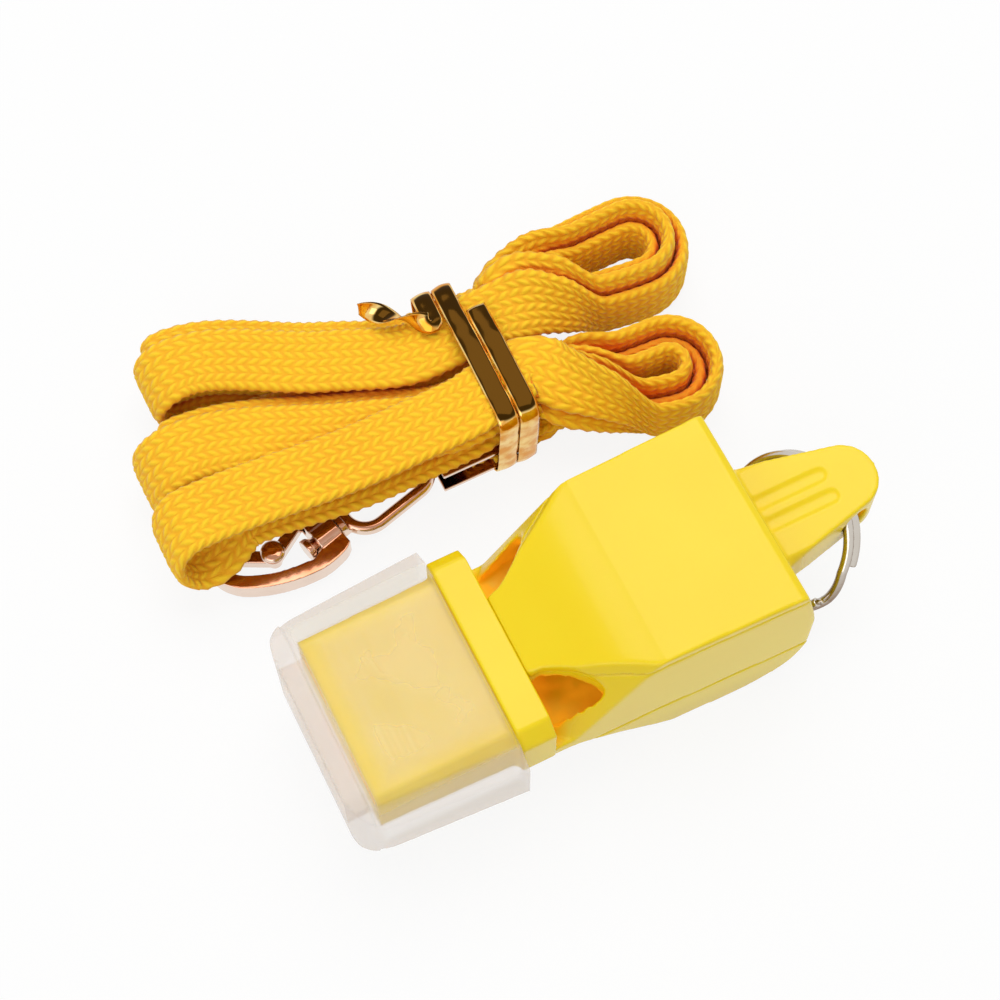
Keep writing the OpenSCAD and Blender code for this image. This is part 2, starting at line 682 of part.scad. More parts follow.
module swivel_eye() {
    r = (eye_w - eye_wire) / 2;
    straight = eye_l - eye_w;
    back = -shoulder_l - play;
    color("silver") hooked() translate([0, 0, swivel_z]) {
        rotate([0, 90, 0]) rotate_extrude() polygon([[0, back - head_l], [head_d / 2, back - head_l],
            [head_d / 2, back - head_l / 2], [shank_d / 2, back], [shank_d / 2, play], [neck_d / 2, play],
            [neck_d / 2, play + neck_l], [0, play + neck_l]]);
        translate([play + neck_l - over + eye_w / 2, 0, 0]) {
            rotate(90) rotate_extrude(angle = 180) translate([r, 0]) circle(d = eye_wire, $fn = 24);
            translate([straight, 0, 0]) rotate(-90) rotate_extrude(angle = 180) translate([r, 0])
                circle(d = eye_wire, $fn = 24);
            for (s = [-1, 1]) translate([0, s * r, 0]) rotate([0, 90, 0])
                cylinder(h = straight, d = eye_wire, $fn = 24);
        }
    }
}

// The cord clamp: two plates over both cord ends and a narrow bend round the eye
clamp_low = 0.3;
clamp_end = 2.1;
clamp_neck_w = 1.9;
clamp_neck_l = 1.1;
clamp_in = 2.7;
clamp_back = 0.45;

module cord_clamp() {
    place = hook_place + (play + neck_l - over + eye_l - eye_wire / 2) * [cos(hook_turn), sin(hook_turn), 0]
        - [clamp_back, 0, 0];
    mid = clamp_low + clamp_t + clamp_in / 2;
    rise = clamp_in + clamp_t;
    color("silver") {
        translate([place[0], place[1], mid]) rotate([90, 0, 0]) translate([0, 0, -clamp_neck_w / 2])
            linear_extrude(clamp_neck_w) difference() {
                circle(clamp_in / 2 + clamp_t);
                circle(clamp_in / 2);
                translate([0, -clamp_in]) square(2 * clamp_in);
            }
        for (z = [0, rise]) translate([0, 0, clamp_low + z]) {
            translate([place[0], place[1] - clamp_neck_w / 2, 0])
                cube([clamp_neck_l + over, clamp_neck_w, clamp_t]);
            translate([place[0] + clamp_neck_l, clamp_y - clamp_w / 2, 0])
                cube([clamp_end - place[0] - clamp_neck_l, clamp_w, clamp_t]);
        }
    }
}
clamp_y = lane_y[1][5];

middle_body();
top_cover();
bottom_cover();
mouth_guard();
split_ring();
lanyard_cord();
cord_clamp();
swivel_eye();
hook_claw();
hook_lever();
lever_pin();
lever_spring();
foil_tie();
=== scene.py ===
# %% [markdown]
# # A sports whistle and its lanyard
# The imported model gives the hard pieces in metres, each on the body that moves it.
# This file dresses them with a camera, plain light, a folded braid, rounded mouldings,
# a soft guard and bright metal.

from math import cos, pi, radians, sin

import bmesh
import bpy
import numpy as np
from mathutils import Matrix, Vector, noise
from mathutils.bvhtree import BVHTree


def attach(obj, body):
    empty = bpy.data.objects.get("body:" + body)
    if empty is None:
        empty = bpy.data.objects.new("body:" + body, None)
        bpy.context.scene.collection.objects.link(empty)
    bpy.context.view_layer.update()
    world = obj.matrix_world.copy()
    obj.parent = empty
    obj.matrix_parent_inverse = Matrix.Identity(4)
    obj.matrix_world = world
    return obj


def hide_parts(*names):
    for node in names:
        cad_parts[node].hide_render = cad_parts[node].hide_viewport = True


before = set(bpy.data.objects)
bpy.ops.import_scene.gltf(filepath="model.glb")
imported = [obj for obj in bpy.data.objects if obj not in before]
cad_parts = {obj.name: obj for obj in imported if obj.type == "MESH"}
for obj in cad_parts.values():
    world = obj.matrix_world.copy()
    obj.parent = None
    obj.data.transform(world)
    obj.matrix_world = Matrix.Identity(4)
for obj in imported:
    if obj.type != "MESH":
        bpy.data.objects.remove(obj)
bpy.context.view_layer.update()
MM = 0.001

# %% [markdown]
# ## The camera
# The photograph looks down from the front left, from close by, so near edges look larger than far ones.
# The place, the three turns and the lens come from the whistle's own straight edges.
# A camera looks along its own minus Z, so the matrix holds right, up and backward as columns.

# %% Place the camera
EYE = Vector((-0.04003, -0.06140, 0.20480))
YAW, PITCH, ROLL = radians(63.937), radians(66.548), radians(-0.488)
forward = Vector((cos(PITCH) * cos(YAW), cos(PITCH) * sin(YAW), -sin(PITCH)))
level_right = Vector((sin(YAW), -cos(YAW), 0))
level_up = level_right.cross(forward)
right = level_right * cos(ROLL) + level_up * sin(ROLL)
up = level_up * cos(ROLL) - level_right * sin(ROLL)
lens = bpy.data.cameras.new("photo_camera")
lens.lens, lens.sensor_width, lens.clip_start = 79.2, 36, 0.01
camera = bpy.data.objects.new("photo_camera", lens)
camera.matrix_world = Matrix.Translation(EYE) @ Matrix((right, up, -forward)).transposed().to_4x4()
bpy.context.collection.objects.link(camera)
bpy.context.scene.camera = camera
bpy.context.scene.view_settings.view_transform = "Standard"
print("camera is", round((EYE.length) * 1000), "mm from the middle of the whistle's foot")

# %% [markdown]
# ## Shader maths
# A material is a graph of nodes. Writing it as Python sums is shorter to read than wiring each node.
# The class below wraps one socket. An operator on it adds a Math node, and node() adds any other kind.

# %% One class for shader sums
class Sum:
    """A value somewhere in a material's graph."""

    def __init__(self, tree, socket=None):
        self.tree, self.socket = tree, socket

    def node(self, kind, settings=(), out=0, **inputs):
        made = self.tree.nodes.new(kind)
        for name, value in dict(settings).items():
            if name == "stops":
                ramp = made.color_ramp.elements
                while len(ramp) < len(value):
                    ramp.new(0.5)
                for stop, (place, colour) in zip(ramp, value):
                    stop.position, stop.color = place, colour
            else:
                setattr(made, name, value)
        for name, value in inputs.items():
            key = int(name[1:]) if name[0] == "i" and name[1:].isdigit() else name.replace("_", " ")
            self.fill(made.inputs[key], value)
        return Sum(self.tree, made.outputs[out])

    def fill(self, socket, value):
        if isinstance(value, Sum):
            self.tree.links.new(value.socket, socket)
        elif isinstance(value, tuple) and len(value) == 3 and socket.type == "RGBA":
            socket.default_value = (*value, 1)
        else:
            socket.default_value = value

    def maths(self, operation, a, b=0.0, c=0.0):
        return self.node("ShaderNodeMath", {"operation": operation}, i0=a, i1=b, i2=c)

    def __add__(self, other):
        return self.maths("ADD", self, other)

    __radd__ = __add__

    def __sub__(self, other):
        return self.maths("SUBTRACT", self, other)

    def __rsub__(self, other):
        return self.maths("SUBTRACT", other, self)

    def __mul__(self, other):
        return self.maths("MULTIPLY", self, other)

    __rmul__ = __mul__

    def __truediv__(self, other):
        return self.maths("DIVIDE", self, other)

    def __pow__(self, other):
        return self.maths("POWER", self, other)

    def steps(self, low, high):
        """0 below low, 1 above high, and a smooth rise between."""
        return self.node("ShaderNodeMapRange", {"interpolation_type": "SMOOTHSTEP"}, Value=self, From_Min=low,
                         From_Max=high)

    def blend(self, a, b):
        """Colour a where this is 0 and colour b where it is 1."""
        return self.node("ShaderNodeMix", {"data_type": "RGBA"}, out=2, i0=self, i6=a, i7=b)


def linear(text):
    """A screen colour such as F7D70A as the shader's linear values."""
    parts = [int(text[i:i + 2], 16) / 255 for i in (0, 2, 4)]
    return tuple(p / 12.92 if p < 0.04045 else ((p + 0.055) / 1.055) ** 2.4 for p in parts)


def surface(name, **inputs):
    """A new material with the given values and sums on its Principled shader."""
    made = bpy.data.materials.new(name)
    made.use_nodes = True
    shader = made.node_tree.nodes["Principled BSDF"]
    start = Sum(made.node_tree)
    for key, value in inputs.items():
        value = value(start) if callable(value) else value
        start.fill(shader.inputs[key.replace("_", " ")], value)
    print("material", name, "has", len(made.node_tree.nodes), "nodes")
    return made


def grain(start, size, detail=2.0, roughness=0.5):
    """Noise with bumps about size millimetres across, from 0 to 1."""
    place = start.node("ShaderNodeTexCoord", out=3)
    return start.node("ShaderNodeTexNoise", Vector=place, Scale=1000 / size, Detail=detail, Roughness=roughness)


def bumps(start, height, depth, strength=1.0):
    """A normal from heights between 0 and 1, depth millimetres deep."""
    return start.node("ShaderNodeBump", Strength=strength, Distance=depth * MM, Height=height)

# %% [markdown]
# ## Floor and light
# The photograph has a plain white ground and soft light from above.
# One broad lamp stands high behind the whistle, a second fills the front left, and the world gives the rest.
# The camera, mirrors and clear pieces see a white world and floor, while the light that they give stays lower.

# %% Build the stage
def seen_rays(start):
    """1 for a ray from the camera, off a mirror or through a clear piece, and 0 for the light that shades."""
    rays = [start.node("ShaderNodeLightPath", out=n) for n in (0, 3, 6)]
    return start.maths("MINIMUM", rays[0] + rays[1] + rays[2], 1.0)


def white_where_seen(name, plain, share):
    """A floor finish: mostly white where it is seen, but its shadows still show."""
    made = bpy.data.materials.new(name)
    made.use_nodes = True
    tree = made.node_tree
    start = Sum(tree)
    seen = seen_rays(start)
    shaded = start.node("ShaderNodeBsdfDiffuse", Color=plain)
    glow = start.node("ShaderNodeEmission", Color=(1.0, 1.0, 1.0), Strength=1.0)
    mixed = start.node("ShaderNodeMixShader", i0=seen * share, i1=shaded, i2=glow)
    tree.links.new(mixed.socket, tree.nodes["Material Output"].inputs["Surface"])
    return made


bpy.ops.mesh.primitive_plane_add(size=3, location=(0, 0, 0))
floor = bpy.context.object
floor.name = "floor"
floor.data.materials.append(white_where_seen("floor_white", (0.85, 0.85, 0.84), 0.88))

world = bpy.data.worlds.new("studio")
bpy.context.scene.world = world
world.use_nodes = True
sky = Sum(world.node_tree)
seen = seen_rays(sky)
world_light = 0.46
back = world.node_tree.nodes["Background"]
sky.fill(back.inputs["Color"], (1.0, 1.0, 1.0))
sky.fill(back.inputs["Strength"], seen * (1 - world_light) + world_light)


def lamp(name, place, power, size):
    """A square lamp that faces the whistle."""
    light = bpy.data.lights.new(name, "AREA")
    light.energy, light.size = power, size
    made = bpy.data.objects.new(name, light)
    made.location = place
    made.rotation_euler = (Vector((0, 0.015, 0)) - Vector(place)).to_track_quat("-Z", "Y").to_euler()
    bpy.context.collection.objects.link(made)


lamp("softbox", (0.14, 0.26, 0.62), 3.0, 0.6)
lamp("fill", (-0.45, -0.35, 0.5), 1.5, 0.6)
print("stage and", len(bpy.data.lights), "lamps are set")

# %% [markdown]
# ## Hollows
# Yellow plastic and yellow yarn glow orange in their hollows, where light comes through many folds.
# Each point of a mesh sends out a few rays over a fixed spread of directions.
# The share that soon meets the mesh again is kept as a colour layer, which the materials read to paint orange
# shade and glow there.

# %% Measure how hidden each point is
def spread(count):
    """Directions over a half ball, more of them near its pole."""
    made = []
    for i in range(count):
        r, a = ((i + 0.5) / count) ** 0.5, i * 2.39996
        made.append(Vector((r * cos(a), r * sin(a), (1 - r * r) ** 0.5)))
    return made


def keep_hollows(made, reach, rays=12, others=()):
    """Store how much of each point's view is blocked within reach millimetres."""
    mesh = made.data
    verts = [v.co.copy() for v in mesh.vertices]
    faces = [tuple(p.vertices) for p in mesh.polygons]
    for other in others:
        start = len(verts)
        verts += [v.co.copy() for v in other.data.vertices]
        faces += [tuple(i + start for i in p.vertices) for p in other.data.polygons]
    tree = BVHTree.FromPolygons(verts, faces)
    rows, hidden = spread(rays), np.zeros(len(mesh.vertices))
    for i, vertex in enumerate(mesh.vertices):
        turn = vertex.normal.to_track_quat("Z", "Y")
        start = vertex.co + vertex.normal * 0.04 * MM
        hidden[i] = sum(tree.ray_cast(start, turn @ d, reach * MM)[0] is not None for d in rows) / rays
    edges = np.zeros(len(mesh.edges) * 2, dtype=np.int64)
    mesh.edges.foreach_get("vertices", edges)
    a, b = edges.reshape(-1, 2).T
    links = np.bincount(a, minlength=len(hidden)) + np.bincount(b, minlength=len(hidden))
    for _ in range(4):
        around = np.bincount(a, hidden[b], len(hidden)) + np.bincount(b, hidden[a], len(hidden))
        hidden = 0.5 * hidden + 0.5 * around / np.maximum(links, 1)
    layer = mesh.color_attributes.new("hollow", "FLOAT_COLOR", "POINT")
    layer.data.foreach_set("color", np.repeat(hidden, 4))
    print(made.name, "is hidden by", round(float(hidden.mean()), 2), "on average")


def hollow_of(start):
    return start.node("ShaderNodeAttribute", {"attribute_name": "hollow"}, out=2)

# %% [markdown]
# ## The lanyard's route
# The cord is one flat braid, seven millimetres wide, folded out and back six times.
# On the left it lies face up, in two stacks. Past the tie it turns on edge, and opens into loops.
# The same points as in the part's source are used, with the curves between them drawn finely.

# %% Points of the route, in millimetres
WIDTH, PITCH_Z = 7.0, 1.55
STATIONS = [[-11.4, -2.4, 5.6, 9.6, 13.6, 17.6], [-11.4, -2.4, 5.6, 9.1, 12.6, 16.1]]
TURNS = [0, 0, 0, 30, 60, 90]
MID_Y = [[34.1, 34.1, 34.1, 35.7, 35.8, 35.6], [25.6, 25.6, 25.6, 24.2, 22.5, 21.3]]
MID_Z = [[4.8, 4.8, 4.8, 6.2, 6.4, 4.9], [5.6, 5.6, 5.6, 6.2, 6.4, 4.9]]
FAN = [0.35, 0, 0, 0, 0, 0]
SLIP_AT = [1, 0.8, 0.5, 0.9, 1, 1]
OPEN = [0, 0, 0, 0, 0.3, 0.75]
HELD = [0, 0, 0, 0.4, 0.8, 1]
TURN_X, TURN_Y, HOLLOW = [22.7, 19.2], [35.4, 20.9], [1.4, 0.9]
LANE_Y = [[43.4, 43.4, 34.2, 43.4, 43.4, 34.2], [26, 34.2, 34.2, 26, 25.2, 25.2]]
LEVEL = [[8.65, 7.1, 5.55, 4, 2.45, 0.9], [10.2, 8.65, 7.1, 5.55, 2.95, 1.4]]
LEFT_SLIP = [[-1, 1, -1, 1, -1, -1], [-1, -1, 1, -1, 0, 0]]
RIGHT_SLIP = [[-1, 1, -1, -1, 1, -1], [1, -1, 1, 1, -1, 1]]
END_SLIP = [[-1, 1, 0.7, 1, -1, -0.7], [0, -0.7, 0.7, -1.6, 0, 0]]
LOOPS = [(1, 5), (1, 3), (0, 2), (0, 1), (0, 0), (1, 1)]
FOLD_X = [-30.4, -28.2, -25.4, -25.4, -28.6]
DIP_LEVEL, DIP_X = 4.1, -25.4


def rank(k):
    return (2.5 - k) * PITCH_Z


def sign(v):
    return (v > 0) - (v < 0)


def mix(a, b, t):
    return a + (b - a) * t


def held(g, k):
    return g == 1 and k > 3


def dips(g, k):
    return g == 1 and k == 3


def end_level(g, k):
    return DIP_LEVEL if dips(g, k) else LEVEL[g][k]


def at_station(g, k, i):
    """X, Y, Z and the turn of strip k in stack g at station i."""
    a = radians(TURNS[i])
    y = mix(MID_Y[g][i], LANE_Y[g][k], FAN[i])
    h = LEVEL[g][k] - MID_Z[g][i] if i < 3 else rank(k) + sign(rank(k)) * OPEN[i] * HOLLOW[g]
    if held(g, k):
        s = mix(LANE_Y[g][k] - MID_Y[g][2], RIGHT_SLIP[g][k], HELD[i])
    else:
        s = SLIP_AT[i] * (LEFT_SLIP if i < 2 else RIGHT_SLIP)[g][k]
    return (STATIONS[g][i], y - h * sin(a) + s * cos(a), MID_Z[g][i] + h * cos(a) + s * sin(a), a)

# %% [markdown]
# ## From points to a smooth line
# Each run is known at a few places along X. A curve that never overshoots is drawn through them,
# so that strips that lie on each other stay apart. The turns and folds are true arcs.

# %% Smooth runs and true arcs
def eased(xs, ys, at):
    """A smooth curve through the points with no overshoot, level at both ends."""
    h, d = np.diff(xs), np.diff(ys) / np.diff(xs)
    slope = np.zeros(len(xs))
    for i in range(1, len(xs) - 1):
        if d[i - 1] * d[i] > 0:
            w1, w2 = 2 * h[i] + h[i - 1], h[i] + 2 * h[i - 1]
            slope[i] = (w1 + w2) / (w1 / d[i - 1] + w2 / d[i])
    i = np.clip(np.searchsorted(xs, at, side="right") - 1, 0, len(xs) - 2)
    t = (at - xs[i]) / h[i]
    return ((2 * t**3 - 3 * t**2 + 1) * ys[i] + (t**3 - 2 * t**2 + t) * h[i] * slope[i]
            + (3 * t**2 - 2 * t**3) * ys[i + 1] + (t**3 - t**2) * h[i] * slope[i + 1])


def run(g, k, start_x):
    """Rings of strip k from its left end to the start of its right turn."""
    first = 1 if held(g, k) else 0
    points = [at_station(g, k, i) for i in range(first, 6)]
    side = sign(rank(k))
    turn = (TURN_X[g], TURN_Y[g] - side * (abs(rank(k)) + HOLLOW[g]), MID_Z[g][5] + RIGHT_SLIP[g][k], pi / 2)
    points.append(turn)
    if dips(g, k):
        points.insert(0, (DIP_X, LANE_Y[g][k], LEVEL[g][k], 0))
    if start_x is not None:
        points.insert(0, (start_x, LANE_Y[g][k] + END_SLIP[g][k], end_level(g, k), 0))
    xs, ys, zs, turns = np.array(points).T
    at = np.linspace(xs[0], xs[-1], int((xs[-1] - xs[0]) / 0.4))
    y, z, a = (eased(xs, v, at) for v in (ys, zs, turns))
    one, none = np.ones(len(at)), np.zeros(len(at))
    return [np.stack([at, y, z], 1), np.stack([none, np.cos(a), np.sin(a)], 1), np.stack([one, none, none], 1)]


def right_turn(g, k, steps=48):
    r, side = abs(rank(k)) + HOLLOW[g], sign(rank(k))
    a = side * (np.linspace(0, pi, steps + 1)[1:-1] - pi / 2)
    flat = np.zeros(len(a))
    height = MID_Z[g][5] + RIGHT_SLIP[g][k]
    return [np.stack([TURN_X[g] + r * np.cos(a), TURN_Y[g] + r * np.sin(a), flat + height], 1),
            np.stack([flat, flat, flat + 1], 1), side * np.stack([-np.sin(a), np.cos(a), flat], 1)]


def left_fold(g, k, h, m, x, steps=24):
    za, zb = end_level(g, k), end_level(h, m)
    ya, yb = LANE_Y[g][k] + END_SLIP[g][k], LANE_Y[h][m] + END_SLIP[h][m]
    t = np.linspace(0, 1, steps + 1)[1:-1]
    a, flat = t * pi, np.zeros(len(t))
    return [np.stack([x - abs(za - zb) / 2 * np.sin(a), mix(ya, yb, t * t * (3 - 2 * t)),
                      (za + zb) / 2 + (za - zb) / 2 * np.cos(a)], 1),
            np.stack([flat, flat + 1, flat], 1),
            np.stack([-np.cos(a), flat, sign(zb - za) * np.sin(a)], 1)]


def backward(rings):
    p, w, along = rings
    return [p[::-1], w[::-1], -along[::-1]]


def whole_route():
    """Middles, width directions and running directions of the cord from end to end."""
    pieces = []
    for n, (g, k) in enumerate(LOOPS):
        start = FOLD_X[n - 1] if n else None
        end = FOLD_X[n] if n < len(LOOPS) - 1 else None
        pieces += [run(g, k, start), right_turn(g, k), backward(run(g, 5 - k, end))]
        if end is not None:
            pieces.append(left_fold(g, 5 - k, *LOOPS[n + 1], end))
    return [np.concatenate([q[j] for q in pieces]) for j in range(3)]


def unit(v):
    return v / np.linalg.norm(v, axis=1, keepdims=True)


def evenly(rings, step):
    """The same route with its rings step millimetres apart."""
    p = rings[0]
    s = np.r_[0, np.cumsum(np.linalg.norm(np.diff(p, axis=0), axis=1))]
    at = np.linspace(FIRST_CUT, s[-1], int((s[-1] - FIRST_CUT) / step) + 1)
    p, w, along = (np.stack([np.interp(at, s, v[:, j]) for j in range(3)], 1) for v in rings)
    return p, unit(w), unit(along), at - FIRST_CUT


# The first end is cut shorter for one reason. Uncut, about half of them count, and
# with this cut about a fifth do. The strips themselves lie no further apart.
STITCH, COLUMNS, FIRST_CUT = 1.15, 8, 2.6
middle, across, along, travelled = evenly(whole_route(), STITCH / 4)

# %% [markdown]
# ## The braid
# A knitted flat cord shows lengthwise columns of slanted stitches, and soft edges.
# The columns and the stitches are modelled in the tube's own rings, and the yarn is left to the material.

# %% Make the cord
THICK = 1.35


def knit(u, column, side):
    """Height of the knit in millimetres at u along the cord and column across it."""
    across_one = column - np.floor(column) - 0.5
    slant = np.where(np.floor(column).astype(int) % 2 == 0, 1, -1) * across_one
    wave = np.cos(2 * pi * (u / STITCH + 0.7 * slant + 0.25 * (1 - side)))
    return 0.06 * (1 - np.abs(2 * across_one) ** 3) * (1 + wave) - 0.09 * np.abs(2 * across_one) ** 4


def swept(name, verts):
    """A closed mesh through rings of points, with a cap on each end."""
    rings, count = verts.shape[:2]
    i = np.arange(rings - 1)[:, None] * count
    j = np.arange(count)[None, :]
    after = (j + 1) % count
    quads = np.stack([i + j, i + count + j, i + count + after, i + after], -1).reshape(-1, 4)
    caps = [tuple(range(count)), tuple(range((rings - 1) * count, rings * count))[::-1]]
    mesh = bpy.data.meshes.new(name)
    mesh.from_pydata(verts.reshape(-1, 3).tolist(), [], quads.tolist() + caps)
    mesh.update()
    return mesh


def flat_cord(name):
    points_across = 4 * COLUMNS + 1
    half = np.linspace(-1, 1, points_across)
    section = []
    for side in (1, -1):
        for v in half[::side] if side == 1 else half[::-1]:
            section.append((v, side))
    section = section[:points_across] + section[points_across + 1:-1]
    v = np.array([q[0] for q in section])
    side = np.array([q[1] for q in section])
    face = THICK / 2 * (1 - np.abs(v) ** 5) ** 0.5
    normal = np.cross(along, across)
    tangent = unit(np.gradient(middle, axis=0))
    squared = unit(np.cross(normal, tangent))
    lying = np.clip(np.abs(across[:, 1:2]) ** 6 * np.sign(np.sum(squared * across, 1, keepdims=True)), 0, 1)
    lying *= np.clip(np.abs(along[:, :1]) * 4 - 3, 0, 1)
    width = unit(mix(across, squared, lying))
    u = travelled[:, None]
    column = (v * 0.5 + 0.5)[None, :] * COLUMNS
    height = knit(u, np.clip(column, 0, COLUMNS - 1e-6), side[None, :]) * (1 - np.abs(v) ** 8)[None, :]
    ripple = 0.1 * np.cos(2 * pi * u / STITCH) * (np.abs(v) > 0.97)[None, :]
    x = v[None, :] * (WIDTH / 2 - 0.05) + np.sign(v)[None, :] * ripple
    z = side[None, :] * (face[None, :] + height - 0.05)
    z[:, np.abs(v) > 0.999] = 0
    verts = (middle[:, None, :] + x[..., None] * width[:, None, :] + z[..., None] * normal[:, None, :]) * MM
    rings, count = verts.shape[:2]
    mesh = swept(name, verts)
    along_v = np.repeat(travelled, count) / STITCH + np.tile(0.25 * (1 - side), rings)
    across_v = np.tile(v * 0.5 + 0.5, rings)
    uv = mesh.uv_layers.new(name="braid")
    corner = np.zeros(len(mesh.loops), dtype=np.int32)
    mesh.loops.foreach_get("vertex_index", corner)
    uv.data.foreach_set("uv", np.stack([along_v[corner], across_v[corner] * COLUMNS], 1).ravel())
    mesh.shade_smooth()
    made = bpy.data.objects.new(name, mesh)
    bpy.context.collection.objects.link(made)
    return made


cord = flat_cord("braided_cord")
print("cord faces:", len(cord.data.polygons))
keep_hollows(cord, 2.2, 8)

# %% Yarn colours, with painted shade in the grooves and between the strips
def stitches(start):
    """1 on the crown of each slanted stitch, and 0 in the grooves between."""
    place = start.node("ShaderNodeUVMap", {"uv_map": "braid"})
    u = start.node("ShaderNodeSeparateXYZ", Vector=place)
    v = Sum(u.tree, u.socket.node.outputs[1])
    odd = 1 - 2 * start.maths("MODULO", start.maths("FLOOR", v), 2.0)
    across_one = start.maths("FRACT", v) - 0.5
    wave = start.maths("COSINE", (u + across_one * odd * 0.7) * (2 * pi)) * 0.5 + 0.5
    return wave * (1 - start.maths("ABSOLUTE", across_one * 2) ** 2.5)


def braid_colour_and_painted_shade(start):
    cloud = grain(start, 7.0, 2.0)
    fluff = grain(start, 0.35, 3.0, 0.6)
    # Painted shade: the grooves between the stitches are drawn a deeper, darker yellow than their crowns.
    crown = (stitches(start) * 0.7 + fluff * 0.45 + cloud * 0.25 - 0.1).steps(0.0, 0.85)
    yarn = crown.blend(linear("F3A904"), linear("FFCF18"))
    # Painted shade: where the strips hide each other, the yarn is drawn orange for the light that bounces
    # between them.
    return (hollow_of(start) * 1.1 - 0.12).steps(0.12, 0.85).blend(yarn, linear("F48406"))


def braid_bumps(start):
    fuzz = grain(start, 0.16, 3.0, 0.7)
    return bumps(start, stitches(start) * 0.75 + fuzz * 0.35, 0.16, 0.9)


braid = surface("braided_yarn", Base_Color=braid_colour_and_painted_shade, Roughness=0.8, Normal=braid_bumps, Sheen_Weight=0.12,
                Sheen_Roughness=0.4)
cord.data.materials.append(braid)
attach(cord, "lanyard")
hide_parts("lanyard_cord")

# %% [markdown]
# ## Rounded hard pieces
# Moulded and cast pieces have no knife edges. Their solids have sharp ones, which is right for measuring.
# A copy of each solid is rebuilt from small cubes and smoothed, so that every edge gets its small radius.

# %% Round the edges of a copy
def rounded(node, name, cell, passes, body, finish, reach=None):
    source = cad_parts[node]
    made = bpy.data.objects.new(name, source.data.copy())
    bpy.context.collection.objects.link(made)
    made.data.materials.clear()
    made.data.materials.append(finish)
    voxels = made.modifiers.new("cells", "REMESH")
    voxels.mode, voxels.voxel_size = "VOXEL", cell * MM
    ease = made.modifiers.new("ease", "SMOOTH")
    ease.factor, ease.iterations = 0.5, passes
    solid = bpy.data.meshes.new_from_object(made.evaluated_get(bpy.context.evaluated_depsgraph_get()))
    made.modifiers.clear()
    made.data = solid
    solid.name = name
    solid.shade_smooth()
    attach(made, body)
    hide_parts(node)
    if reach:
        keep_hollows(made, reach, 14)
    print(name, "has", len(solid.polygons), "faces")
    return made

# %% [markdown]
# ## The whistle's mouldings
# The body is hard, glossy ABS in a strong yellow. Inside the windows, where light bounces, an orange shade and
# glow are painted on.

# %% Yellow plastic
def plastic_colour_and_painted_shade(start):
    shell = grain(start, 14.0, 2.0).steps(0.25, 0.75).blend(linear("EFD00A"), linear("F1D516"))
    # Painted shade: hollows such as the windows are drawn orange, for the light that bounces inside them.
    return (hollow_of(start) - 0.1).steps(0.15, 0.75).blend(shell, linear("F8AC10"))


def painted_plastic_glow(start):
    """Painted glow: light that has come through the walls, shown as emission in the hollows alone."""
    return (hollow_of(start) - 0.1).steps(0.2, 0.9).blend((0.0, 0.0, 0.0), (1.0, 0.5, 0.01))


def plastic_gloss(start):
    """Rougher where the surface is hidden, so that the hollows keep their painted orange shade."""
    return (hollow_of(start) - 0.1).steps(0.1, 0.6) * 0.45 + 0.27


def plastic_coat(start):
    return (1 - (hollow_of(start) - 0.1).steps(0.05, 0.45)) * 0.1


def plastic_bumps(start):
    return bumps(start, grain(start, 1.6, 3.0) * 0.8 + grain(start, 0.25, 2.0) * 0.2, 0.012, 0.6)


plastic = surface("yellow_plastic", Base_Color=plastic_colour_and_painted_shade, Roughness=plastic_gloss, Normal=plastic_bumps,
                  Coat_Weight=plastic_coat, Specular_IOR_Level=0.28,
                  Coat_Roughness=0.1, Subsurface_Weight=0.15, Subsurface_Radius=(1.0, 0.6, 0.1),
                  Subsurface_Scale=0.0012, Emission_Color=painted_plastic_glow, Emission_Strength=0.35)
body = rounded("middle_body", "whistle_body", 0.2, 12, "whistle", plastic, 9)
# The mouthpiece is drawn a little slimmer than its solid, so that it stays clear of the sleeve round it
COLLAR_X, SLIMMER = -12.9, 0.1
points, outward = (np.zeros(len(body.data.vertices) * 3, dtype=np.float32) for _ in range(2))
body.data.vertices.foreach_get("co", points)
body.data.vertices.foreach_get("normal", outward)
slim = np.repeat(points[::3] < (COLLAR_X - 0.2) * MM, 3)
points[slim] -= outward[slim] * SLIMMER * MM
body.data.vertices.foreach_set("co", points)
body.data.update()
rounded("top_cover", "whistle_roof", 0.18, 8, "whistle", plastic, 9)
rounded("bottom_cover", "whistle_tub", 0.18, 8, "whistle", plastic, 9)

# %% [markdown]
# ## The mouth guard
# A soft, frosted sleeve. Light passes through it, and the yellow below shows where it is thin.

# %% Frosted sleeve
# Where the sleeve's rims start, and the edges of the mouthpiece below it, in millimetres
RIM_Y, EDGE_Y = (9.4, 10.2), (6.2, 8.6)
RIM_X, EDGE_X = (-27.5, -26.2), (-26.2, -23.8)


def sleeve_parts(start):
    """How far a point is a free rim, and how far it lies over an edge of the mouthpiece."""
    place = start.node("ShaderNodeTexCoord", out=3)
    x = start.node("ShaderNodeSeparateXYZ", Vector=place)
    y = start.maths("ABSOLUTE", Sum(x.tree, x.socket.node.outputs[1]))
    return [start.maths("MAXIMUM", y.steps(*(v * MM for v in far_y)), 1 - x.steps(*(v * MM for v in far_x)))
            for far_y, far_x in ((RIM_Y, RIM_X), (EDGE_Y, EDGE_X))]


def sleeve_colour(start):
    rim = sleeve_parts(start)[0]
    cream = grain(start, 5.0, 2.0).steps(0.3, 0.7).blend(linear("F0E2B8"), linear("F5E9C8"))
    return rim.blend(cream, linear("E6D8CC"))


def sleeve_alpha(start):
    rim, edge = sleeve_parts(start)
    return 0.24 - edge * 0.12 + rim * 0.2


def frost(start):
    return bumps(start, grain(start, 0.9, 3.0) * 0.6 + grain(start, 0.15, 2.0) * 0.4, 0.02, 0.5)


